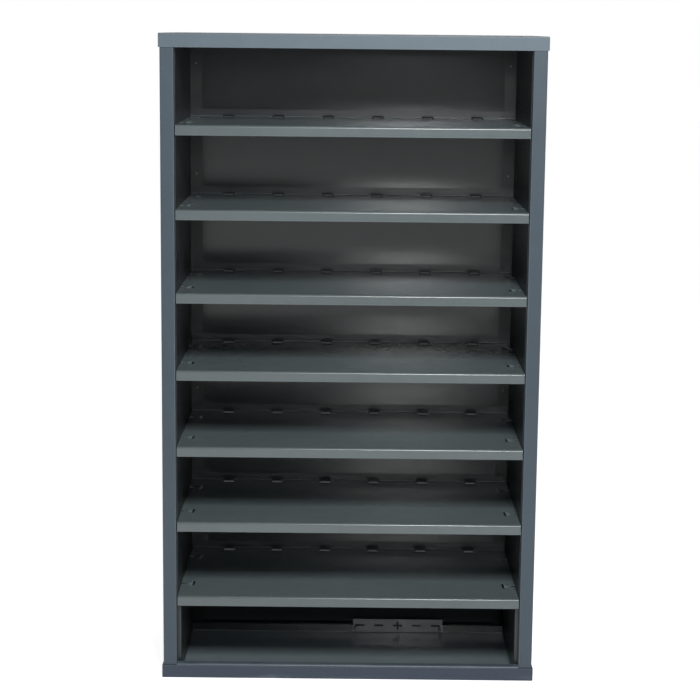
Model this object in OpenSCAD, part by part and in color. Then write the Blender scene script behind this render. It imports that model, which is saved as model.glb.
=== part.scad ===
// Open steel storage cabinet with seven lift-off shelves.
// Every sheet part is drawn as folded sheet. Lengths are in millimetres.
// The origin is on the floor under the middle of the cabinet.
// X runs to the right and Y to the back, seen from the open front, and Z runs up.

/* [Cabinet] */
// Overall width, over the top and base trays
cabinet_w = 914; // [760:1:1200]
// Overall depth, over the top and base trays
cabinet_d = 470; // [400:1:600]
// Overall height
cabinet_h = 1570; // [1520:1:1900]
// Thickness of the steel sheet
sheet_t = 1.2; // [0.8:0.1:1.5]
// Radius of a fold, to the middle of the sheet
fold_r = 2; // [1.5:0.1:3]
// Radius of the round nose along a shelf's front edge and along the sill
nose_r = 4.5; // [3:0.5:6]

/* [Trays] */
// Height of the top tray's turned-down lip
cap_lip_h = 33; // [26:1:50]
// Height of the base tray's turned-up lip
base_lip_h = 32; // [26:1:50]
// How far a tray stands proud of the side panels and the front posts
tray_proud = 3; // [2:0.5:5]

/* [Side walls] */
// Width of a front post, seen from the front
post_w = 33; // [28:1:45]
// Depth of a front post's turned-in edge
post_return = 30; // [20:1:40]
// Width of a side panel's turned-in rear edge
rear_return = 28; // [18:1:28]
// Distance of the back panel's front face from the side panels' rear face
back_inset = 14; // [10:1:40]
// Length of liner that laps over a front post's turned-in edge
liner_lap = 10; // [5:1:15]
// Width of the angle in each rear corner
rear_angle_w = 30; // [20:1:45]
// Length of the rear angle's leg behind the liner
rear_angle_leg = 18; // [12:1:25]
// Gap between the liner's rear edge and the rear angle
liner_gap = 0.2; // [0:0.1:1]

/* [Shelf slots] */
// Height of the shelf that slot number nought would carry
slot_foot = 6.5; // [0:0.5:12]
// Distance from one slot to the next
slot_pitch = 12.5; // [11.5:0.1:12.5]
// Number of the lowest slot in each row
first_slot = 15; // [15:1:16]
// Height of a slot
slot_h = 2.6; // [2.4:0.1:3.5]
// Gap on each side of a clip in its slot
slot_play = 0.5; // [0.3:0.1:1]
// Distance of the front slots behind the shelves' front edge
front_slot_inset = 112; // [90:1:140]
// Distance of the rear slots in front of the shelves' rear edge
rear_slot_inset = 90; // [70:1:120]
// Slot that the lowest shelf hangs in
low_shelf_slot = 16; // [16:1:18]
// Slots from one shelf to the next
shelf_gap = 15; // [12:1:15]
// How many of the top gaps are one slot taller
tall_gaps = 2; // [0:1:3]

/* [Shelves] */
// Height of a shelf's front lip
shelf_lip_h = 25; // [22:1:30]
// Width of the edge turned back under the front lip
shelf_return = 13; // [9:1:20]
// Height of a shelf's side flanges
shelf_side_h = 18; // [14:1:20]
// Height of the upstand along a shelf's rear edge
upstand_h = 20; // [14:1:30]
// How far the shelves stand behind the front posts' face
shelf_setback = 4; // [3:0.5:12]
// Gap at each end of a shelf
shelf_side_gap = 0.8; // [0.5:0.1:2]
// Gap behind a shelf
shelf_rear_gap = 0.8; // [0.5:0.1:3]

/* [Pressings in the shelves] */
// Radius of the half dome over each shelf clip
hood_r = 32; // [26:1:40]
// Height of that dome above the shelf
hood_h = 5; // [5:0.5:7]
// Distance of the slot along that dome's mouth from the shelf's end
hood_inset = 34.5; // [33:0.5:36]
// Width of that slot
mouth_w = 4.5; // [3:0.5:5]
// Length of that slot
mouth_len = 48; // [42:1:56]
// Radius that the slot is bowed to
mouth_bow = 60; // [50:1:90]
// Width of the notch beside each dome, in the shelf's end
notch_w = 20; // [14:1:24]
// Depth of that notch
notch_d = 10; // [6:1:12]
// Radius and height of the hood over each divider slot
louvre_r = 7; // [5:0.5:8]
// Length of a divider slot
louvre_len = 34; // [24:1:44]
// Number of divider slots in a shelf
louvre_count = 6; // [2:1:6]
// Distance from one divider slot to the next
louvre_pitch = 128; // [80:1:128]
// Distance of the divider slots in front of the upstand
louvre_inset = 20; // [12:1:40]

/* [Shelf clips] */
// Width of a clip's tongue
clip_w = 14; // [10:1:18]
// Thickness of a clip
clip_t = 1.6; // [1.2:0.1:2]
// How far a clip's tongue reaches in from the liner
clip_reach = 26; // [24:0.5:26]
// Width of a clip's finger
finger_w = 8; // [5:1:9]
// How far the finger stands above the shelf's top face, inside the hood
finger_rise = 2; // [0.5:0.5:2]
// Gap between a shelf and the tongues that carry it
seat_gap = 0.3; // [0.2:0.1:0.5]
// Length of the hook that hangs behind the liner
hook_drop = 5; // [3:0.5:8]
// Gap between that hook and the liner
hook_gap = 0.3; // [0.2:0.1:0.5]

/* [Stiffeners] */
// Width of the channel under each shelf and under the top tray
stiffener_w = 60; // [40:1:90]
// Depth of that channel
stiffener_h = 15; // [10:1:18]
// Width of each edge that a channel is welded by
weld_edge = 12; // [8:1:16]
// Distance of a shelf channel's ends from the shelf's ends
stiffener_inset = 40; // [36:1:80]
// Gap between the side walls and the ends of the channel under the top tray
cap_stiffener_gap = 4; // [1:1:10]
// Inside width of an upright behind the slots
upright_w = 32; // [28:1:44]
// Depth of an upright behind the slots
upright_d = 12; // [8:1:20]
// Gap at each end of an upright
upright_gap = 5; // [2:1:20]
// Height of the header behind the top tray's front lip
header_h = 30; // [20:1:32]
// Height of the sill behind the base tray's front lip
sill_h = 34.5; // [28:0.5:40]
// Depth of the sill's top
sill_d = 20; // [14:1:20]

/* [Lowest compartment] */
// Distance of the floor's turned-up rear edge behind the front posts' face
floor_depth = 362; // [300:1:380]
// Gap between the sill and the floor's front edge
floor_gap = 1; // [0.5:0.5:5]
// Height of the side cheeks above the base
cheek_h = 173; // [120:1:173]
// Thickness of the side cheeks
cheek_t = 8; // [6:0.5:12]
// Distance of the side cheeks' front edge behind the front posts' face
cheek_setback = 26; // [24:1:60]
// Width of the slotted plate at the back of the floor
plate_w = 238; // [225:1:320]
// Height of that plate
plate_h = 34; // [30:1:44]
// Distance of that plate's middle to the right of the cabinet's middle
plate_x = 132; // [-150:1:150]
// Distance between the slots in the plate
plate_pitch = 50; // [42:1:50]
// Length of a slot in the plate
plate_slot_len = 24; // [18:1:26]
// Width of a slot in the plate
plate_slot_w = 5; // [3:0.5:6]
// Distance of the plate's rivets from its ends
plate_rivet_inset = 7; // [6:0.5:8]

/* [Rivets] */
// Diameter of a rivet
rivet_d = 4.8; // [3:0.1:5]
// Gap round a rivet in its hole
hole_gap = 0.2; // [0.1:0.05:0.4]
// Rivets on each side of the back panel
rivet_count = 6; // [3:1:9]
// Distance of the end rivets from the trays' lips
rivet_end = 45; // [20:1:90]

/* [Hidden] */
SHELVES = 7;
$fn = 48;

// A little more than nothing, so that a cut passes clean through a face
past = 1;

// Sheet planes of the walls, as distances from the middle
body_x = cabinet_w / 2 - tray_proud;
body_y = cabinet_d / 2 - tray_proud;
post_in_x = body_x - post_w;
liner_x = post_in_x - sheet_t;
back_y = body_y - back_inset;
angle_y = back_y - sheet_t;
liner_front_y = -body_y + post_return - liner_lap;

// Inner radius of a fold, which a sheet that butts against a folded one stays clear of
fold_in = fold_r - sheet_t / 2;
liner_rear_y = angle_y - fold_in - liner_gap;

// Heights inside the two trays
base_z = sheet_t;
floor_z = 2 * sheet_t;
cap_z = cabinet_h - sheet_t;

// The shelves' outline
shelf_x = liner_x - shelf_side_gap;
shelf_front_y = -body_y + shelf_setback;
shelf_rear_y = angle_y - shelf_rear_gap;
front_row_y = shelf_front_y + front_slot_inset;
rear_row_y = shelf_rear_y - rear_slot_inset;
clip_x = liner_x - clip_reach;
slot_w = clip_w + 2 * slot_play;

// Clips lie this far under the shelf's top face
tongue_drop = shelf_side_h + seat_gap;
row_top = cap_z - cap_lip_h - header_h;
slot_count = floor((row_top - slot_foot) / slot_pitch) - first_slot;

function slot_z(n) = slot_foot + n * slot_pitch;
// Shelf 1 is the lowest. The gaps above the lower shelves are one slot shorter.
function shelf_slot(k) =
    low_shelf_slot + shelf_gap * (k - 1) + max(0, k - SHELVES + tall_gaps);
function shelf_z(k) = slot_z(shelf_slot(k));
// Height of a clip's tongue, which stands on the lower edge of its slot
function tongue_z(z) = z - tongue_drop - clip_t;
function unit(v) = v / norm(v);
function corner_r(i, nose) = i == nose ? nose_r : fold_r;

// Folded sheet, seen along its folds. The path runs down the middle of the sheet.
// Corner number nose, if one is given, has the larger radius.
module folded(path, nose = 0) {
    last = len(path) - 1;
    for (i = [0 : last - 1]) {
        run = path[i + 1] - path[i];
        start = i == 0 ? 0 : corner_r(i, nose);
        stop = i == last - 1 ? 0 : corner_r(i + 1, nose);
        translate(path[i])
            rotate(atan2(run[1], run[0]))
                translate([start, -sheet_t / 2])
                    square([norm(run) - start - stop, sheet_t]);
    }
    for (i = [1 : last - 1])
        fold(path[i], unit(path[i - 1] - path[i]), unit(path[i + 1] - path[i]), corner_r(i, nose));
}

// One square fold at a corner, between the directions u and v
module fold(corner, u, v, r) {
    reach = r + sheet_t;
    translate(corner + r * (u + v))
        intersection() {
            difference() {
                circle(r + sheet_t / 2);
                circle(r - sheet_t / 2);
            }
            polygon([[0, 0], -u * reach, -(u + v) * reach, -v * reach]);
        }
}

// Folded sheet that runs from left to right, drawn as depth and height
module fold_across(path, half_w, nose = 0) {
    translate([-half_w, 0, 0])
        rotate([90, 0, 90])
            linear_extrude(2 * half_w)
                folded(path, nose);
}

// Folded sheet that stands upright, drawn as width and depth
module fold_upright(path, z0, z1) {
    translate([0, 0, z0])
        linear_extrude(z1 - z0)
            folded(path);
}

// The part given for the right side, put on the left side
module on_left() {
    mirror([1, 0, 0])
        children();
}

// A block with round edges along its top, w by d by h on its base
module crowned_block(w, d, h, r) {
    intersection() {
        rotate([90, 0, 0])
            linear_extrude(d, center = true)
                crowned_outline(w, h, r);
        rotate([90, 0, 90])
            linear_extrude(w, center = true)
                crowned_outline(d, h, r);
    }
}

// The outline of that block from one side
module crowned_outline(w, h, r) {
    translate([-w / 2, 0])
        square([w, h - r]);
    translate([r - w / 2, 0])
        square([w - 2 * r, h]);
    for (side = [-1, 1])
        translate([side * (w / 2 - r), h - r])
            circle(r);
}

// A tray of folded sheet, lips down, that stands on its lips
module tray(w, d, h) {
    outer_r = fold_r + sheet_t / 2;
    difference() {
        crowned_block(w, d, h, outer_r);
        translate([0, 0, -past])
            crowned_block(w - 2 * sheet_t, d - 2 * sheet_t, h - sheet_t + past, outer_r - sheet_t);
    }
}

// A round hole or shank along Y, from y0 to y1
module bar_y(d, y0, y1) {
    translate([0, y1, 0])
        rotate([90, 0, 0])
            cylinder(h = y1 - y0, d = d);
}

// A rivet along Y: its head bears on y, its shank ends at tip_y
module rivet(y, tip_y) {
    rim_h = rivet_d / 5;
    translate([0, y, 0])
        rotate([-90, 0, 0]) {
            translate([0, 0, tip_y - y])
                cylinder(h = y - tip_y, d = rivet_d);
            cylinder(h = rim_h, d = 2 * rivet_d);
            translate([0, 0, rim_h])
                cylinder(h = rim_h, d1 = 2 * rivet_d, d2 = 1.2 * rivet_d);
        }
}

// The hole for a rivet
module rivet_hole(y0, y1) {
    bar_y(rivet_d + 2 * hole_gap, y0, y1);
}

module top_cap() {
    color("slategray")
        translate([0, 0, cabinet_h - cap_lip_h])
            tray(cabinet_w, cabinet_d, cap_lip_h);
}

module base_tray() {
    color("slategray")
        translate([0, 0, base_lip_h])
            mirror([0, 0, 1])
                tray(cabinet_w, cabinet_d, base_lip_h);
}

// Right side panel: front post, outer skin and rear edge in one folded sheet
module side_panel() {
    mid = sheet_t / 2;
    fold_upright([
        [post_in_x + mid, -body_y + post_return],
        [post_in_x + mid, -body_y + mid],
        [body_x - mid, -body_y + mid],
        [body_x - mid, body_y - mid],
        [body_x - rear_return, body_y - mid]
    ], base_z, cap_z);
    for (z = [base_z, cap_z - sheet_t])
        translate([post_in_x + 2 * sheet_t, -body_y + mid, z])
            cube([post_w - 2 * sheet_t - mid, 2 * body_y - sheet_t, sheet_t]);
}

module side_panel_right() {
    color("slategray")
        side_panel();
}

module side_panel_left() {
    color("slategray")
        on_left()
            side_panel();
}

// Right liner: the flat inner wall, punched with two rows of shelf slots
module side_liner() {
    difference() {
        translate([liner_x, liner_front_y, base_z])
            cube([sheet_t, liner_rear_y - liner_front_y, cap_z - base_z]);
        for (y = [front_row_y, rear_row_y], i = [0 : slot_count - 1])
            translate([liner_x - past, y - slot_w / 2, tongue_z(slot_z(first_slot + i))])
                cube([sheet_t + 2 * past, slot_w, slot_h]);
    }
}

module side_liner_right() {
    color("dimgray")
        side_liner();
}

module side_liner_left() {
    color("dimgray")
        on_left()
            side_liner();
}

rivet_x = liner_x - rear_angle_w / 2;
rivet_low = base_lip_h + rivet_end;
rivet_high = cabinet_h - cap_lip_h - rivet_end;
rivet_step = (rivet_high - rivet_low) / (rivet_count - 1);

// Puts its children at the rivets of the back panel on one side
module at_rivets() {
    for (i = [0 : rivet_count - 1])
        translate([rivet_x, 0, rivet_low + i * rivet_step])
            children();
}

// Back panel: a shallow pan whose edges turn to the rear
module back_panel() {
    pan_d = back_inset - sheet_t - fold_in;
    pan_w = 2 * (body_x - sheet_t);
    pan_h = cap_z - base_z - 2 * sheet_t;
    color("dimgray")
        difference() {
            translate([0, back_y + pan_d, (base_z + cap_z) / 2])
                rotate([90, 0, 0])
                    tray(pan_w, pan_h, pan_d);
            for (side = [-1, 1])
                scale([side, 1, 1])
                    at_rivets()
                        rivet_hole(back_y - past, back_y + 2 * sheet_t);
        }
}

// Right rear angle: closes the corner between the liner and the back panel
module rear_angle() {
    mid = sheet_t / 2;
    difference() {
        fold_upright([
            [liner_x - rear_angle_w, back_y - mid],
            [liner_x + sheet_t + mid, back_y - mid],
            [liner_x + sheet_t + mid, back_y - rear_angle_leg]
        ], base_z, cap_z);
        at_rivets()
            rivet_hole(angle_y - past, back_y + past);
    }
}

module rear_angle_right() {
    color("dimgray")
        rear_angle();
}

module rear_angle_left() {
    color("dimgray")
        on_left()
            rear_angle();
}

module back_rivets() {
    color("silver")
        for (side = [-1, 1])
            scale([side, 1, 1])
                at_rivets()
                    rivet(back_y + sheet_t, angle_y);
}

sill_back_y = -body_y + sill_d;
floor_front_y = sill_back_y + floor_gap;
floor_rear_y = -body_y + floor_depth;

// Floor: a flat sheet on the base tray, turned up along its rear edge
module floor_panel() {
    mid = sheet_t / 2;
    color("gray")
        difference() {
            fold_across([
                [floor_front_y, base_z + mid],
                [floor_rear_y - mid, base_z + mid],
                [floor_rear_y - mid, floor_z + upstand_h]
            ], liner_x - shelf_side_gap);
            at_plate_rivets()
                rivet_hole(floor_rear_y - 2 * sheet_t, floor_rear_y + past);
        }
}

// Rail that joins the front posts behind the top tray's lip
module header_rail() {
    mid = sheet_t / 2;
    color("slategray")
        fold_across([
            [sill_back_y, cap_z - mid],
            [-body_y + mid, cap_z - mid],
            [-body_y + mid, cap_z - header_h + mid],
            [-body_y + weld_edge, cap_z - header_h + mid]
        ], post_in_x);
}

// Rail that joins the front posts behind the base tray's lip, with a round top edge
module sill_rail() {
    mid = sheet_t / 2;
    color("slategray")
        fold_across([
            [-body_y + weld_edge, base_z + mid],
            [-body_y + mid, base_z + mid],
            [-body_y + mid, base_z + sill_h - mid],
            [sill_back_y, base_z + sill_h - mid]
        ], post_in_x, 2);
}

// Channel with two welding edges, hung under the height z
module hung_channel(y, z, half_w) {
    mid = sheet_t / 2;
    in_y = stiffener_w / 2 - weld_edge;
    fold_across([
        [y - stiffener_w / 2, z - mid],
        [y - in_y, z - mid],
        [y - in_y, z - stiffener_h + mid],
        [y + in_y, z - stiffener_h + mid],
        [y + in_y, z - mid],
        [y + stiffener_w / 2, z - mid]
    ], half_w);
}

module cap_stiffener() {
    color("slategray")
        hung_channel(0, cap_z, liner_x - cap_stiffener_gap);
}

// Channel on the liner's hidden face, round one row of slots
module upright(y) {
    face_x = liner_x + sheet_t + sheet_t / 2;
    far_x = liner_x + sheet_t + upright_d;
    half = upright_w / 2;
    fold_upright([
        [face_x, y - half - weld_edge],
        [face_x, y - half],
        [far_x, y - half],
        [far_x, y + half],
        [face_x, y + half],
        [face_x, y + half + weld_edge]
    ], base_z + sheet_t + upright_gap, cap_z - sheet_t - upright_gap);
}

module upright_front_right() {
    color("gray")
        upright(front_row_y);
}

module upright_front_left() {
    color("gray")
        on_left()
            upright(front_row_y);
}

module upright_rear_right() {
    color("gray")
        upright(rear_row_y);
}

module upright_rear_left() {
    color("gray")
        on_left()
            upright(rear_row_y);
}

// Right cheek of the lowest compartment, a channel on the liner
module floor_cheek() {
    mid = sheet_t / 2;
    front_y = -body_y + cheek_setback;
    rear_y = floor_rear_y - sheet_t - fold_in;
    fold_upright([
        [liner_x, front_y + mid],
        [liner_x - cheek_t + mid, front_y + mid],
        [liner_x - cheek_t + mid, rear_y - mid],
        [liner_x, rear_y - mid]
    ], floor_z, base_z + cheek_h);
}

module floor_cheek_right() {
    color("slategray")
        floor_cheek();
}

module floor_cheek_left() {
    color("slategray")
        on_left()
            floor_cheek();
}

// The plate's foot clears the fold behind it
plate_foot = floor_z + fold_r;
plate_z = plate_foot + plate_h / 2;
plate_face_y = floor_rear_y - sheet_t;

// Puts its children at the two rivets of the slotted plate
module at_plate_rivets() {
    for (side = [-1, 1])
        translate([
            plate_x + side * (plate_w / 2 - plate_rivet_inset),
            0,
            floor_z + upstand_h / 2
        ])
            children();
}

// Plate with a row of slots, the middle one a cross, on the floor's turned-up edge
module slotted_plate() {
    color("gray")
        difference() {
            translate([plate_x - plate_w / 2, plate_face_y - sheet_t, plate_foot])
                cube([plate_w, sheet_t, plate_h]);
            for (i = [-2 : 2])
                translate([plate_x + i * plate_pitch, plate_face_y, plate_z])
                    cube([plate_slot_len, 4 * sheet_t, plate_slot_w], center = true);
            translate([plate_x, plate_face_y, plate_z])
                cube([plate_slot_w, 4 * sheet_t, plate_slot_len], center = true);
            at_plate_rivets()
                rivet_hole(plate_face_y - 2 * sheet_t, plate_face_y + past);
        }
}

// Rivets through the slotted plate and the floor's turned-up edge
module plate_rivets() {
    color("silver")
        at_plate_rivets()
            mirror([0, 1, 0])
                rivet(sheet_t - plate_face_y, -floor_rear_y);
}

// A round-ended hood along X, from the sheet's underside up
module louvre_form(r, len, z) {
    translate([0, 0, z]) {
        rotate([0, 90, 0])
            cylinder(h = len - 2 * r, r = r, center = true);
        for (side = [-1, 1])
            translate([side * (len / 2 - r), 0, 0])
                sphere(r);
    }
}

// The places of a shelf's four clip hoods: children are drawn for the right side
module at_clips() {
    for (side = [-1, 1], y = [front_row_y, rear_row_y])
        scale([side, 1, 1])
            translate([0, y, 0])
                children();
}

// The places of a shelf's divider slots
module at_louvres() {
    for (i = [0 : louvre_count - 1])
        translate([
            (i - (louvre_count - 1) / 2) * louvre_pitch,
            shelf_rear_y - louvre_inset,
            0
        ])
            children();
}

mouth_x = shelf_x - hood_inset + mouth_w;

// The disc whose edge is the bowed mouth of a clip dome
module mouth_disc(r, z0, z1) {
    translate([mouth_x + mouth_bow, 0, z0])
        cylinder(h = z1 - z0, r = r, $fn = 96);
}

// What is inside a clip dome, given its radius and height
module dome_form(r, h, z) {
    translate([mouth_x, 0, z + h - r])
        sphere(r, $fn = 96);
}

// What is cut away for one clip dome: the hollow, the slot at its mouth and the notch
module dome_cut(z) {
    under_z = z - sheet_t - past;
    intersection() {
        dome_form(hood_r - sheet_t, hood_h - sheet_t, z);
        mouth_disc(mouth_bow + past / 2, under_z, z + hood_h);
    }
    intersection() {
        difference() {
            mouth_disc(mouth_bow + mouth_w, under_z, z + past);
            mouth_disc(mouth_bow, under_z - past, z + 2 * past);
        }
        translate([mouth_x - mouth_w - past, -mouth_len / 2, under_z])
            cube([mouth_bow / 2, mouth_len, sheet_t + 2 * past]);
    }
    translate([0, 0, z - notch_d / 2])
        linear_extrude(notch_d)
            polygon([
                [shelf_x + past, -notch_w / 2],
                [shelf_x + past, notch_w / 2],
                [shelf_x - notch_d, notch_w / 4],
                [shelf_x - notch_d, -notch_w / 4]
            ]);
}

// One shelf with its top face at z: a pan with a front lip and a rear upstand
module shelf(z) {
    mid = sheet_t / 2;
    side_front_y = shelf_front_y + nose_r + sheet_t;
    side_rear_y = shelf_rear_y - fold_r - sheet_t;
    color("gray")
        difference() {
            union() {
                fold_across([
                    [shelf_front_y + shelf_return, z - shelf_lip_h + mid],
                    [shelf_front_y + mid, z - shelf_lip_h + mid],
                    [shelf_front_y + mid, z - mid],
                    [shelf_rear_y - mid, z - mid],
                    [shelf_rear_y - mid, z + upstand_h]
                ], shelf_x, 2);
                for (x = [-shelf_x, shelf_x - sheet_t])
                    translate([x, side_front_y, z - shelf_side_h])
                        cube([sheet_t, side_rear_y - side_front_y, shelf_side_h - mid]);
                at_clips()
                    intersection() {
                        dome_form(hood_r, hood_h, z);
                        mouth_disc(mouth_bow, z - mid, z + hood_h + past);
                    }
                at_louvres()
                    intersection() {
                        louvre_form(louvre_r, louvre_len, z);
                        translate([-louvre_len / 2, 0, z - mid])
                            cube([louvre_len, louvre_r, louvre_r + past]);
                    }
            }
            at_clips()
                dome_cut(z);
            at_louvres()
                intersection() {
                    louvre_form(louvre_r - sheet_t, louvre_len - 2 * sheet_t, z);
                    translate([-louvre_len / 2, -louvre_r, z - sheet_t - past])
                        cube([louvre_len, 2 * louvre_r, louvre_r + 2 * past]);
                }
        }
}

// The channel welded under one shelf
module shelf_stiffener(z) {
    color("gray")
        hung_channel((shelf_front_y + shelf_rear_y) / 2, z - sheet_t, shelf_x - stiffener_inset);
}

// The four clips of one shelf: tongue, finger and the hook behind the liner
module shelf_clips(z) {
    low_z = tongue_z(z);
    hook_x = liner_x + sheet_t + hook_gap;
    color("silver")
        at_clips() {
            translate([clip_x, -clip_w / 2, low_z])
                cube([hook_x + clip_t - clip_x, clip_w, clip_t]);
            translate([clip_x, -finger_w / 2, low_z])
                cube([clip_t, finger_w, clip_t + tongue_drop + finger_rise]);
            translate([hook_x, -clip_w / 2, low_z - hook_drop])
                cube([clip_t, clip_w, hook_drop + clip_t]);
        }
}

top_cap();
base_tray();
side_panel_left();
side_panel_right();
side_liner_left();
side_liner_right();
back_panel();
floor_panel();
header_rail();
sill_rail();
cap_stiffener();
rear_angle_left();
rear_angle_right();
upright_front_left();
upright_front_right();
upright_rear_left();
upright_rear_right();
floor_cheek_left();
floor_cheek_right();
slotted_plate();
plate_rivets();
back_rivets();
shelf(shelf_z(1));  // shelf_1
shelf(shelf_z(2));  // shelf_2
shelf(shelf_z(3));  // shelf_3
shelf(shelf_z(4));  // shelf_4
shelf(shelf_z(5));  // shelf_5
shelf(shelf_z(6));  // shelf_6
shelf(shelf_z(7));  // shelf_7
shelf_stiffener(shelf_z(1));  // shelf_stiffener_1
shelf_stiffener(shelf_z(2));  // shelf_stiffener_2
shelf_stiffener(shelf_z(3));  // shelf_stiffener_3
shelf_stiffener(shelf_z(4));  // shelf_stiffener_4
shelf_stiffener(shelf_z(5));  // shelf_stiffener_5
shelf_stiffener(shelf_z(6));  // shelf_stiffener_6
shelf_stiffener(shelf_z(7));  // shelf_stiffener_7
shelf_clips(shelf_z(1));  // shelf_clips_1
shelf_clips(shelf_z(2));  // shelf_clips_2
shelf_clips(shelf_z(3));  // shelf_clips_3
shelf_clips(shelf_z(4));  // shelf_clips_4
shelf_clips(shelf_z(5));  // shelf_clips_5
shelf_clips(shelf_z(6));  // shelf_clips_6
shelf_clips(shelf_z(7));  // shelf_clips_7
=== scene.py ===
import math

import bpy
from mathutils import Matrix, Vector


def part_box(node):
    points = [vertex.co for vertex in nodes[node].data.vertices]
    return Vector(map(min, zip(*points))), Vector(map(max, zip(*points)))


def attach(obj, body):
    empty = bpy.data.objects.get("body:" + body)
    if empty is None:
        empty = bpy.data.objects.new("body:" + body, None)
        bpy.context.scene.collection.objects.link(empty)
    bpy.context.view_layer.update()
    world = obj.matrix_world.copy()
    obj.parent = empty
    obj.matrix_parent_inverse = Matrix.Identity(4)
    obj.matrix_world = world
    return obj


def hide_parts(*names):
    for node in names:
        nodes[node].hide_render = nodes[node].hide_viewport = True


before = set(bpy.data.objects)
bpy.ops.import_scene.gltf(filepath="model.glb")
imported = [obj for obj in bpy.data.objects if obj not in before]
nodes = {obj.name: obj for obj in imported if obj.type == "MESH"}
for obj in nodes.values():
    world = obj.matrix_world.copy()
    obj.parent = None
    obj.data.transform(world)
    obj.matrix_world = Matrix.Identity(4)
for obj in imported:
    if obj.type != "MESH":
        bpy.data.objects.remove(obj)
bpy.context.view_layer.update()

# Top tray and base tray: one steel sheet each, folded to a lip all round and welded to
# the side panels, in the blue-grey powder coat of the whole outside, which the base tray
# has painted darker as painted shade. The coat has a fine orange-peel skin over sheet that
# is never quite flat, and thins to a paler line on a fold.


class Field:
    """A value that varies over a surface: one node output, with Python's own operators."""

    def __init__(self, tree, socket):
        self.tree = tree
        self.socket = socket

    def math(self, operation, *values):
        """A Math node on one or two values."""
        n = self.tree.nodes.new("ShaderNodeMath")
        n.operation = operation
        for slot, value in zip(n.inputs, values):
            join(self.tree, slot, value)
        return Field(self.tree, n.outputs[0])

    def __add__(self, other):
        return self.math("ADD", self, other)

    def __radd__(self, other):
        return self.math("ADD", other, self)

    def __sub__(self, other):
        return self.math("SUBTRACT", self, other)

    def __rsub__(self, other):
        return self.math("SUBTRACT", other, self)

    def __mul__(self, other):
        return self.math("MULTIPLY", self, other)

    def __rmul__(self, other):
        return self.math("MULTIPLY", other, self)

    def __abs__(self):
        return self.math("ABSOLUTE", self)

    def __pow__(self, other):
        return self.math("POWER", self, other)

    def least(self, other):
        return self.math("MINIMUM", self, other)

    def most(self, other):
        return self.math("MAXIMUM", self, other)

    def wave(self, pitch):
        """Distance to the nearest multiple of pitch."""
        return self.math("PINGPONG", self, pitch / 2)


def join(tree, slot, value):
    """Links a socket to what varies, or sets its value."""
    if isinstance(value, Field):
        tree.links.new(value.socket, slot)
    else:
        slot.default_value = value


class Patterns:
    """Patterns in one node tree, all read from the same coordinates, in metres."""

    def __init__(self, tree, coordinates):
        self.tree = tree
        self.place = self.add("ShaderNodeTexCoord", coordinates, {})
        split = self.add("ShaderNodeSeparateXYZ", "X", {"Vector": self.place}).socket.node
        self.x, self.y, self.z = (Field(tree, socket) for socket in split.outputs)

    def add(self, kind, output, sockets, **settings):
        """Any node but a Math one: its settings go in first, then the values or links of
        its sockets, each by its name or number."""
        n = self.tree.nodes.new(kind)
        for key, value in settings.items():
            setattr(n, key, value)
        for key, value in sockets.items():
            join(self.tree, n.inputs[key], value)
        return Field(self.tree, n.outputs[output])

    def cloud(self, size_mm, detail, stretch=(1.0, 1.0, 1.0), shift=0.0):
        """Noise from 0 to 1 whose blotches are about size_mm across."""
        place = self.add(
            "ShaderNodeMapping", 0,
            {
                "Vector": self.place, "Location": (shift, shift / 2, -shift),
                "Scale": stretch,
            },
        )
        return self.add(
            "ShaderNodeTexNoise", 0,
            {
                "Vector": place, "Scale": 1000.0 / size_mm, "Detail": detail,
                "Roughness": 0.55,
            },
        )

    def step(self, value, low, high):
        """0 below low, 1 above high, a smooth rise between. It falls if low > high."""
        start, end = (0.0, 1.0) if low < high else (1.0, 0.0)
        return self.add(
            "ShaderNodeMapRange", 0,
            {
                "Value": value, "From Min": min(low, high), "From Max": max(low, high),
                "To Min": start, "To Max": end,
            },
            interpolation_type="SMOOTHSTEP",
        )

    def blend(self, factor, first, second):
        """One colour laid over another by a factor. A Mix node takes its two colours at
        sockets 6 and 7, and gives its colour at output 2."""
        under, over = (
            colour if isinstance(colour, Field) else (*colour, 1.0)
            for colour in (first, second)
        )
        return self.add(
            "ShaderNodeMix", 2, {0: factor, 6: under, 7: over}, data_type="RGBA"
        )


class Coat(Patterns):
    """One finish, built as a material whose patterns read the piece's own coordinates."""

    def __init__(self, name, roughness, metallic=0.0, specular=0.5):
        self.material = bpy.data.materials.new(name)
        self.material.use_nodes = True
        super().__init__(self.material.node_tree, "Object")
        self.shader = self.material.node_tree.nodes["Principled BSDF"]
        self.shader.inputs["Roughness"].default_value = roughness
        self.shader.inputs["Metallic"].default_value = metallic
        self.shader.inputs["Specular IOR Level"].default_value = specular

    def colour(self, value):
        join(self.tree, self.shader.inputs["Base Color"], value)

    def rough(self, value):
        join(self.tree, self.shader.inputs["Roughness"], value)

    def bumps(self, *layers):
        """Relief from heights of 0 to 1, each with its depth in millimetres."""
        height = None
        for value, depth_mm in layers:
            part = value * (depth_mm / 1000.0)
            height = part if height is None else height + part
        bump = self.add(
            "ShaderNodeBump", 0, {"Strength": 1.0, "Distance": 1.0, "Height": height}
        )
        join(self.tree, self.shader.inputs["Normal"], bump)

    def cover(self, *names):
        """Gives this finish to pieces of the construction model."""
        for name in names:
            nodes[name].data.materials.clear()
            nodes[name].data.materials.append(self.material)


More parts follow.
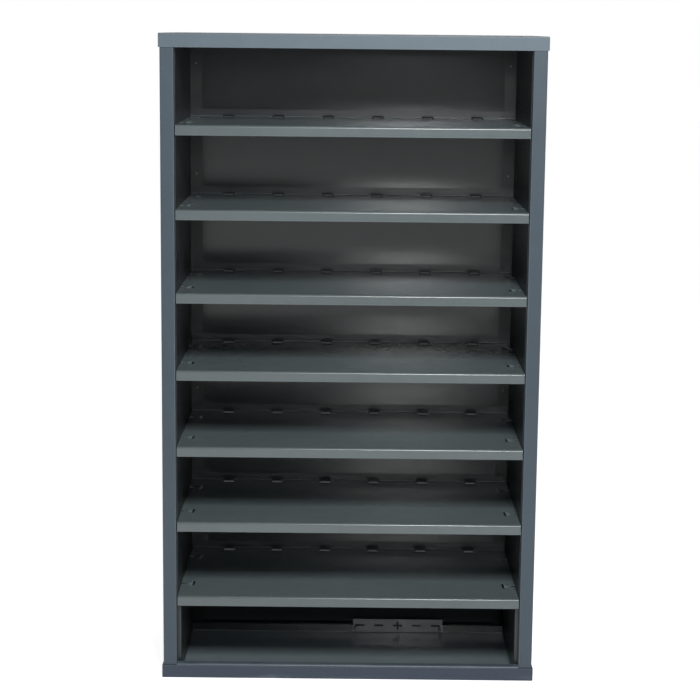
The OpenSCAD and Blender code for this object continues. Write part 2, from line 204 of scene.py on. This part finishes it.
def powder_coat(
    name, paint, worn, thin, seed, roughness=0.42, painted_shade=None, matt=None, relief=None
):
    """Powder coat on sheet steel. thin is 1 where handling has worn it paler and smoother,
    the painted-shade mask is 1 where the coat is painted nearly black as shade, and matt is
    1 where it has no gloss. relief gives a piece other layers of height than the coat's
    own."""
    coat = Coat(name, roughness)
    drift = coat.cloud(420, 2, shift=seed)
    mottle = coat.cloud(38, 4, shift=seed + 3)
    wipe = coat.cloud(55, 3, stretch=(0.35, 1.0, 1.0), shift=seed + 7)
    pale = [c * 1.28 + 0.004 for c in paint]
    deep = [c * 0.80 for c in paint]
    base = coat.blend(drift * 0.6 + mottle * 0.4, deep, pale)
    gloss = roughness * (0.84 + 0.18 * mottle + 0.14 * wipe)
    # Painted shade: the coat is blended towards near black where this mask is 1.
    if painted_shade is not None:
        base = coat.blend(painted_shade(coat) * (0.85 + 0.15 * wipe), base, PAINTED_SHADE_COLOUR)
    if matt is not None:
        gloss = gloss + 0.6 * matt(coat)
    if thin is not None:
        thin = thin(coat)
        speck = coat.step(coat.cloud(2.2, 3, shift=seed + 5), 0.52, 0.70)
        base = coat.blend(thin * (0.35 + 0.65 * speck), base, worn)
        gloss = gloss * (1.0 - 0.2 * thin)
    coat.colour(base)
    coat.rough(gloss)
    if relief is None:
        peel = coat.cloud(1.6, 1, shift=seed)
        coat.bumps((peel, 0.006), (drift, 0.22), (mottle, 0.003))
    else:
        coat.bumps(*relief(coat))
    return coat


# Near-black colour painted on as shade.
PAINTED_SHADE_COLOUR = (0.016, 0.021, 0.023)
OUTSIDE = (0.066, 0.094, 0.116)
# The base tray's paint: the outside colour made much darker, as painted shade low down.
OUTSIDE_SHADED = (0.014, 0.026, 0.048)
OUTSIDE_WORN = (0.20, 0.23, 0.26)


def cap_wear(coat):
    """The top tray's edges, 2 mm round its top, and its lip's lower rim."""
    low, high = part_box("top_cap")
    face = (high.y - abs(coat.y)).least(high.x - abs(coat.x))
    fold = coat.step(face, 0.0030, 0.0008) * coat.step(high.z - coat.z, 0.0028, 0.0006)
    rim = coat.step(coat.z - low.z, 0.0012, 0.0003)
    return (rim * 0.5).most(fold)


def base_wear(coat):
    """Kicks and mop marks low on the base tray's lip, and its upper rim."""
    rim_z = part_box("base_tray")[1].z
    scrape = coat.step(coat.cloud(30, 4, stretch=(0.2, 0.2, 1.6), shift=2), 0.56, 0.70)
    foot = coat.step(coat.z, 0.016, 0.001)
    rim = coat.step(rim_z - coat.z, 0.0014, 0.0003)
    return (scrape * foot * 0.7).most(rim * 0.6)


powder_coat("cap_coat", OUTSIDE, OUTSIDE_WORN, cap_wear, 1.0).cover("top_cap")
powder_coat("base_coat", OUTSIDE_SHADED, OUTSIDE_WORN, base_wear, 4.0).cover("base_tray")


# Side panels: front post, outer skin and rear edge folded from one sheet, so the same
# coat runs round them; its colour is the outside paint made darker, as painted shade. The
# posts are handled at their inner fold, and the rear edges show the dimples of the spot
# welds.

# The side panels' paint: the outside colour made darker, as painted shade.
POST_SHADED = (0.027, 0.045, 0.062)
HAND_Z = 1.0
REAR_EDGE_Y = 0.2300
WELD_X, WELD_PITCH = 0.440, 0.14


def panel_wear(coat):
    """The front posts' two folds, rubbed most at hand height."""
    low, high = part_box("side_panel_right")
    front = coat.step(coat.y - low.y, 0.0026, 0.0006)
    inner = coat.step(abs(abs(coat.x) - low.x), 0.0028, 0.0006)
    outer = coat.step(abs(high.x - abs(coat.x)), 0.0026, 0.0006)
    hand = coat.step(abs(coat.z - HAND_Z), 0.75, 0.1)
    return front * (inner * (0.45 + 0.4 * hand)).most(outer * 0.35)


for seed, name in enumerate(("side_panel_left", "side_panel_right")):

    def panel_relief(coat):
        """A tall sheet that bows more than the trays, with a dimple at each spot weld."""
        rear = coat.step(coat.y, REAR_EDGE_Y, REAR_EDGE_Y + 0.0012)
        across = abs(coat.x) - WELD_X
        weld = (across * across + coat.z.wave(WELD_PITCH) ** 2.0) ** 0.5
        dimple = rear * coat.step(weld, 0.0036, 0.0022)
        peel, bow = coat.cloud(1.6, 1), coat.cloud(420, 2, shift=seed)
        return (peel, 0.02), (bow, 1.3), (1.0 - dimple, 0.25)

    powder_coat(
        name + "_coat", POST_SHADED, OUTSIDE_WORN, panel_wear, 8.0 + seed, relief=panel_relief
    ).cover(name)


# Header, sill and the channel under the top: plain folded strips in the outside coat,
# welded behind the trays' lips and under the top tray. Only the sill's round top edge
# shows, between the posts, where feet and boxes rub it.


def sill_wear(coat):
    """The sill's top edge, rubbed in patches."""
    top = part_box("sill_rail")[1].z
    rub = coat.step(coat.cloud(60, 4, stretch=(0.5, 1, 1), shift=6), 0.42, 0.62)
    return coat.step(top - coat.z, 0.0050, 0.0010) * (0.25 + 0.5 * rub)


for seed, (name, wear) in enumerate({
    "sill_rail": sill_wear, "header_rail": None, "cap_stiffener": None,
}.items()):
    powder_coat(name + "_coat", OUTSIDE, OUTSIDE_WORN, wear, 12.0 + seed).cover(name)


# Slotted inner walls, back panel, rear corner angles and the uprights behind the walls:
# folded sheet in a darker grey coat, welded inside the side panels. The walls, angles and
# uprights have that grey painted far darker than the back panel's, as painted shade. The
# coat is chipped along the two rows of punched slots, and the back panel has the most
# gloss.

BACK = (0.052, 0.059, 0.062)
# The walls' paint: the back panel's grey made far darker, as painted shade.
WALL_SHADED = (0.019, 0.023, 0.026)
INSIDE_WORN = (0.10, 0.105, 0.11)
FRONT_SLOTS_Y, REAR_SLOTS_Y = -0.116, 0.126


def slot_wear(coat):
    """Chips along the two rows of slots, up to a slot's length from their middle."""
    row = abs(coat.y - FRONT_SLOTS_Y).least(abs(coat.y - REAR_SLOTS_Y))
    near = coat.step(row, 0.0105, 0.0078)
    return near * coat.step(coat.cloud(3.5, 3, shift=2), 0.50, 0.66) * 0.8


for seed, (name, wear) in enumerate({
    "side_liner_left": slot_wear, "side_liner_right": slot_wear, "back_panel": None,
    "rear_angle_left": None, "rear_angle_right": None,
    "upright_front_left": None, "upright_front_right": None,
    "upright_rear_left": None, "upright_rear_right": None,
}.items()):
    # Walls, angles and uprights take the darker paint, which is painted shade.
    paint, gloss = (BACK, 0.14) if name == "back_panel" else (WALL_SHADED, 0.36)
    powder_coat(name + "_coat", paint, INSIDE_WORN, wear, 20.0 + seed, gloss).cover(name)


# Floor of the lowest compartment with its two cheeks, and the slotted plate riveted to
# the floor's turned-up rear edge: folded sheet, paler than the walls, whose darker paint
# the cheeks take as painted shade. The floor takes the most scratches, because boxes are
# pushed straight in over it, and it carries painted shade behind the plate's slots and
# along its turned-up edge.

SHELF = (0.128, 0.160, 0.168)
FLOOR = (0.165, 0.205, 0.222)
SHELF_WORN = (0.25, 0.275, 0.28)
FLOOR_TOP_Z = 0.0024
# The plate's slots: their pitch, and from where to where their shade fades, along a slot
# and across it, and towards the plate's ends
PLATE_PITCH = 0.050
ALONG_SLOT, ACROSS_SLOT, PLATE_END = (0.0125, 0.0110), (0.0031, 0.0022), (0.118, 0.114)


def scratched(coat, top_z, seed):
    """Long fine scratches along the way that boxes slide, on the upper face only."""
    lines = coat.cloud(2.4, 3, stretch=(1.0, 0.035, 1.0), shift=seed)
    patch = coat.step(coat.cloud(160, 2, shift=seed + 2), 0.46, 0.62)
    upper = coat.step(abs(coat.z - top_z), 0.0012, 0.0004)
    return coat.step(lines, 0.63, 0.70) * patch * upper


def floor_wear(coat):
    """The floor's scratches, fainter than a worn edge."""
    return scratched(coat, FLOOR_TOP_Z, 31.0) * 0.6


def behind_slots(coat):
    """1 on the floor's turned-up edge where it shows through the plate's slots: painted
    shade goes there, with no gloss.
    """
    low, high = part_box("slotted_plate")
    across = coat.x - (low.x + high.x) / 2
    up = abs(coat.z - (low.z + high.z) / 2)
    row = coat.step(across.wave(PLATE_PITCH), *ALONG_SLOT) * coat.step(up, *ACROSS_SLOT)
    post = coat.step(abs(across), *ACROSS_SLOT) * coat.step(up, *ALONG_SLOT)
    rear = coat.step(coat.y, low.y, low.y + 0.0008)
    return row.most(post) * (coat.step(abs(across), *PLATE_END) * rear)


def floor_painted_shade(coat):
    """Painted shade behind the slots and in the corner along the turned-up edge."""
    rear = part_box("slotted_plate")[0].y
    # Painted shade in the corner where the floor meets its turned-up edge.
    edge = coat.step(coat.z, 0.003, 0.006) * coat.step(coat.y, rear - 0.003, rear)
    return behind_slots(coat).most(edge)


powder_coat(
    "floor_coat", FLOOR, SHELF_WORN, floor_wear, 33.0, 0.19, floor_painted_shade, behind_slots
).cover("floor_panel")
powder_coat("plate_coat", SHELF, SHELF_WORN, None, 35.0, 0.15).cover("slotted_plate")
# The cheeks take the walls' darker paint, which is painted shade.
powder_coat("cheek_coat", WALL_SHADED, INSIDE_WORN, None, 37.0, 0.34).cover(
    "floor_cheek_left", "floor_cheek_right"
)


# Seven shelves with their channels: folded pans with a round nose along the front, each
# with a channel welded under it. The nose is rubbed pale by hands and boxes, the top is
# scratched front to back, and painted shade darkens the lip, upstand and hoods' insides.

UPSTAND = 0.020
# Behind this the shelf's rising face is its upstand, and no pressing
UPSTAND_Y = 0.175
# Divider slots: their pitch, and how far the painted shade in their hoods is from the
# shelf's rear
LOUVRE_PITCH, LOUVRE_INSET = 0.128, 0.0155

for k in range(1, 8):
    low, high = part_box(f"shelf_{k}")
    top = high.z - UPSTAND

    def shelf_wear(coat):
        """The rubbed nose, the upstand's rim and the scratches on top."""
        nose = coat.step(coat.y - low.y, 0.0062, 0.0010)
        nose = nose * coat.step(top - coat.z, 0.0062, 0.0010)
        rub = coat.cloud(90, 3, stretch=(0.6, 1, 1), shift=3.0 * k)
        rim = coat.step(high.z - coat.z, 0.0010, 0.0002)
        scratches = scratched(coat, top, 5.0 * k)
        return (nose * (0.10 + 0.35 * rub)).most(scratches * 0.5).most(rim * 0.2)

    def shelf_painted_shade(coat):
        """Painted shade on the lip's front, up the upstand and low inside the divider
        slots' hoods.
        """
        lip = coat.step(coat.y - low.y, 0.0045, 0.0010)
        rear = coat.step(coat.y, UPSTAND_Y, UPSTAND_Y + 0.010)
        rear = coat.step(coat.z - top, 0.0010, 0.0040) * rear
        hood = coat.step((coat.x - LOUVRE_PITCH / 2).wave(LOUVRE_PITCH), 0.0162, 0.0154)
        hood = hood * coat.step(abs(coat.y - (high.y - LOUVRE_INSET)), 0.0034, 0.0026)
        hood = hood * coat.step(abs(coat.z - top), 0.0045, 0.0025)
        return (lip * 0.55).most(rear * 0.85).most(hood * 0.8)

    powder_coat(
        f"shelf_{k}_coat", SHELF, SHELF_WORN, shelf_wear, 40.0 + 4 * k, 0.25, shelf_painted_shade
    ).cover(f"shelf_{k}")
    powder_coat(
        f"channel_{k}_coat", SHELF, SHELF_WORN, None, 42.0 + 4 * k, 0.44
    ).cover(f"shelf_stiffener_{k}")


# Shelf clips: bent from zinc-plated strip, 1.6 mm thick. Each hooks behind the slotted
# wall, carries the shelf on its tongue and holds it by a finger that stands up inside
# the dome. The zinc has gone dull and cloudy, with drawing lines along the strip.

zinc = Coat("clip_zinc", 0.5, 1.0)
bloom = zinc.cloud(9, 4)
zinc.colour(zinc.blend(bloom, (0.16, 0.16, 0.155), (0.30, 0.30, 0.29)))
zinc.rough(0.40 + 0.25 * bloom)
zinc.bumps((zinc.cloud(0.8, 2, stretch=(0.1, 1, 1)), 0.01), (bloom, 0.01))


def take(*pieces):
    """Selects these pieces and nothing else, and makes the first one active."""
    bpy.ops.object.select_all(action="DESELECT")
    for piece in pieces:
        piece.select_set(True)
    bpy.context.view_layer.objects.active = pieces[0]


def pick(piece, wanted, kind="VERT"):
    """Selects, in edit mode, only the corners or edges whose place passes a test."""
    bpy.ops.mesh.select_mode(type=kind)
    bpy.ops.mesh.select_all(action="DESELECT")
    bpy.ops.object.mode_set(mode="OBJECT")
    corners = piece.data.vertices
    for corner in corners:
        corner.select = kind == "VERT" and wanted(corner.co)
    for edge in piece.data.edges:
        ends = [corners[i].co for i in edge.vertices]
        edge.select = all(wanted(end) for end in ends)
    bpy.ops.object.mode_set(mode="EDIT")


def extrude(rise=0.0):
    """Draws the selected corners out into new faces, by a rise or in place."""
    bpy.ops.mesh.extrude_region_move(TRANSFORM_OT_translate={"value": (0.0, 0.0, rise)})


def settle(piece):
    """Puts the piece's place into its mesh and leaves its object at the origin."""
    take(piece)
    bpy.ops.object.transform_apply(location=True, rotation=True, scale=True)


def copied(piece, name, place, mirrored=False):
    """A copy with its own mesh, moved to its place or mirrored to the other side."""
    take(piece)
    bpy.ops.object.duplicate(linked=False)
    twin = bpy.context.object
    twin.name = name
    twin.location = place
    twin.scale.x = -1.0 if mirrored else 1.0
    settle(twin)
    if mirrored:
        bpy.ops.object.mode_set(mode="EDIT")
        bpy.ops.mesh.select_all(action="SELECT")
        bpy.ops.mesh.normals_make_consistent(inside=False)
        bpy.ops.object.mode_set(mode="OBJECT")
    return twin


def joined(pieces, name):
    """One piece made of several."""
    take(*pieces)
    bpy.ops.object.join()
    bpy.context.object.name = name
    return bpy.context.object


low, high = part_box("shelf_clips_1")
strip, bend = 0.0016, 0.0018
tongue_w, finger_w = 0.014, 0.008
finger_x = 0.3938
finger_h = 0.0219
hair = 0.0001

hook_mid, finger_mid = high.x - strip / 2, finger_x + strip / 2
tongue_mid = high.z - finger_h + strip / 2
row_front, row_rear = low.y + tongue_w / 2, high.y - tongue_w / 2

bpy.ops.object.select_all(action="DESELECT")
bpy.ops.mesh.primitive_plane_add(
    size=1.0, location=((hook_mid + finger_mid) / 2, row_front, tongue_mid)
)
clip = bpy.context.object
clip.scale = (hook_mid - finger_mid, tongue_w, 1.0)
settle(clip)
bpy.ops.object.mode_set(mode="EDIT")
pick(clip, lambda c: c.x > hook_mid - hair)
extrude(low.z - tongue_mid)
pick(clip, lambda c: c.x < finger_mid + hair)
extrude()
bpy.ops.transform.resize(value=(1.0, finger_w / tongue_w, 1.0))
extrude(high.z - tongue_mid)
bpy.ops.mesh.select_all(action="SELECT")
bpy.ops.mesh.remove_doubles(threshold=0.00001)
pick(clip, lambda c: abs(c.z - tongue_mid) < hair and c.x > hook_mid - hair, "EDGE")
bpy.ops.mesh.bevel(offset=bend, segments=4)
pick(
    clip,
    lambda c: abs(c.z - tongue_mid) < hair and c.x < finger_mid + hair
    and abs(c.y - row_front) < finger_w / 2 + hair,
    "EDGE",
)
bpy.ops.mesh.bevel(offset=bend, segments=4)
pick(clip, lambda c: c.z > high.z - hair)
bpy.ops.mesh.bevel(offset=bend, segments=3, affect="VERTICES")
bpy.ops.object.mode_set(mode="OBJECT")
solid = clip.modifiers.new("strip", "SOLIDIFY")
solid.thickness, solid.offset = strip, 0.0
bpy.ops.object.modifier_apply(modifier=solid.name)
edge = clip.modifiers.new("edges", "BEVEL")
edge.width, edge.segments, edge.angle_limit = 0.0002, 2, math.radians(50)
bpy.ops.object.modifier_apply(modifier=edge.name)
clip.data.materials.append(zinc.material)

for k in range(1, 8):
    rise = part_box(f"shelf_clips_{k}")[0].z - low.z
    four = [
        copied(clip, "clip", (0, step, rise), mirrored)
        for step in (0.0, row_rear - row_front) for mirrored in (False, True)
    ]
    clips = joined(four, f"clips_{k}")
    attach(clips, "carcass")
    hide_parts(f"shelf_clips_{k}")
bpy.data.objects.remove(clip)


# Blind rivets of the back panel and of the slotted plate: a low dome with the dimple
# that the broken-off pin leaves, in steel gone dull. Behind the back panel the domes
# face the rear, and their tails end flush inside the cabinet.

steel = Coat("rivet_steel", 0.45, 1.0)
stain = steel.cloud(3, 4)
steel.colour(steel.blend(stain, (0.14, 0.14, 0.14), (0.26, 0.26, 0.27)))
steel.rough(0.38 + 0.25 * stain)
steel.bumps((steel.cloud(0.5, 2), 0.01))

low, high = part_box("back_rivets")
domes_y = high.y
head_r, rim, dome = 0.0048, 0.0008, 0.00112
per_side = 6

# The rivet is made standing up, and then tipped over to face the rear.
top = high.y - dome
seat = top - rim
bpy.ops.object.select_all(action="DESELECT")
bpy.ops.mesh.primitive_cylinder_add(
    vertices=24, radius=head_r, depth=rim, location=(0.0, 0.0, seat + rim / 2)
)
rivet = bpy.context.object
settle(rivet)
bpy.ops.object.mode_set(mode="EDIT")
for shrink, rise in ((0.86, 0.00058), (0.76, 0.00038), (0.62, 0.00016)):
    pick(rivet, lambda c: c.z > top - 0.00001)
    extrude(rise)
    bpy.ops.transform.resize(value=(shrink, shrink, 1.0))
    top += rise
pick(rivet, lambda c: c.z > top - 0.00001)
bpy.ops.mesh.extrude_region()
bpy.ops.transform.resize(value=(0.60, 0.60, 1.0))
bpy.ops.transform.translate(value=(0, 0, -0.0006))
pick(rivet, lambda c: c.z < seat + 0.00002)
bpy.ops.mesh.extrude_region()
bpy.ops.transform.resize(value=(0.5, 0.5, 1.0))
extrude(low.y - seat)
bpy.ops.mesh.select_all(action="SELECT")
bpy.ops.mesh.normals_make_consistent(inside=False)
bpy.ops.object.mode_set(mode="OBJECT")
bpy.ops.object.shade_smooth_by_angle(angle=math.radians(35))
rivet.rotation_euler.x = math.radians(-90)
settle(rivet)
rivet.data.materials.append(steel.material)

first = low.z + head_r
pitch = (high.z - low.z - 2 * head_r) / (per_side - 1)
twelve = [
    copied(rivet, "rivet", (side * (high.x - head_r), 0, first + i * pitch))
    for side in (-1, 1) for i in range(per_side)
]
back = joined(twelve, "back_blind_rivets")
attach(back, "carcass")
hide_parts("back_rivets")

low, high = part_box("plate_rivets")
rivet.location = (0, low.y + domes_y, (low.z + high.z) / 2)
rivet.rotation_euler.z = math.pi
settle(rivet)
two = [copied(rivet, "rivet", (x, 0, 0)) for x in (low.x + head_r, high.x - head_r)]
plated = joined(two, "plate_blind_rivets")
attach(plated, "carcass")
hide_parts("plate_rivets")
bpy.data.objects.remove(rivet)


# Floor of the studio: plain pale paper, far wider than the view. It gives off light of
# its own, so that it comes out as white as the background.

bpy.ops.object.select_all(action="DESELECT")
bpy.ops.mesh.primitive_plane_add(size=60.0, location=(0, 0, 0))
studio = bpy.context.object
studio.name = "studio_floor"
paper = Coat("studio_paper", 0.9, specular=0.1)
paper.colour(paper.blend(paper.cloud(900, 1), (0.86, 0.86, 0.86), (0.90, 0.90, 0.90)))
paper.shader.inputs["Emission Color"].default_value = (1.0, 1.0, 1.0, 1.0)
paper.shader.inputs["Emission Strength"].default_value = 0.85
studio.data.materials.append(paper.material)


# Light: white surroundings behind the cabinet and dark ones in front. One big soft lamp
# hangs high in front, and the sheens on the shelves and the back panel come from it and
# from two weaker ones, a tall one far behind the camera and a small one just over it.

room = bpy.data.worlds.new("room")
room.use_nodes = True
wall = Patterns(room.node_tree, "Generated")
glow = room.node_tree.nodes["Background"]
glow.inputs["Color"].default_value = (1.0, 1.0, 1.0, 1.0)
join(wall.tree, glow.inputs["Strength"], wall.step(wall.y, 0.35, 0.80))
bpy.context.scene.world = room

aim = Vector((0.0, -0.2, 0.8))


def soft_lamp(name, place, width, height, watts):
    """A rectangle of light that faces the middle of the opening."""
    lamp = bpy.data.lights.new(name, "AREA")
    lamp.shape, lamp.size, lamp.size_y = "RECTANGLE", width, height
    lamp.energy = watts
    holder = bpy.data.objects.new(name, lamp)
    bpy.context.scene.collection.objects.link(holder)
    holder.location = place
    holder.rotation_euler = (aim - Vector(place)).to_track_quat("-Z", "Y").to_euler()


soft_lamp("lamp_key", (0.40, -3.0, 2.82), 0.55, 0.85, 102.0)
soft_lamp("lamp_far", (0.42, -9.4, 2.60), 0.50, 1.50, 44.0)
soft_lamp("lamp_near", (0.27, -4.7, 2.20), 0.25, 0.25, 5.0)


# Camera: at the photograph's own place, level with the cabinet's top and 4.7 m in front
# of its middle. It looks 9.7 degrees down through a long lens, and is rolled 0.6 degrees.

lens = bpy.data.cameras.new("camera")
lens.lens, lens.sensor_width = 96.73, 36.0
camera = bpy.data.objects.new("camera", lens)
bpy.context.scene.collection.objects.link(camera)
tilt = Matrix.Rotation(math.radians(80.286), 4, "X")
roll = Matrix.Rotation(math.radians(0.578), 4, "Z")
camera.matrix_world = Matrix.Translation((-0.0018, -4.675, 1.585)) @ (tilt @ roll)
bpy.context.scene.camera = camera
bpy.context.scene.view_settings.view_transform = "Standard"
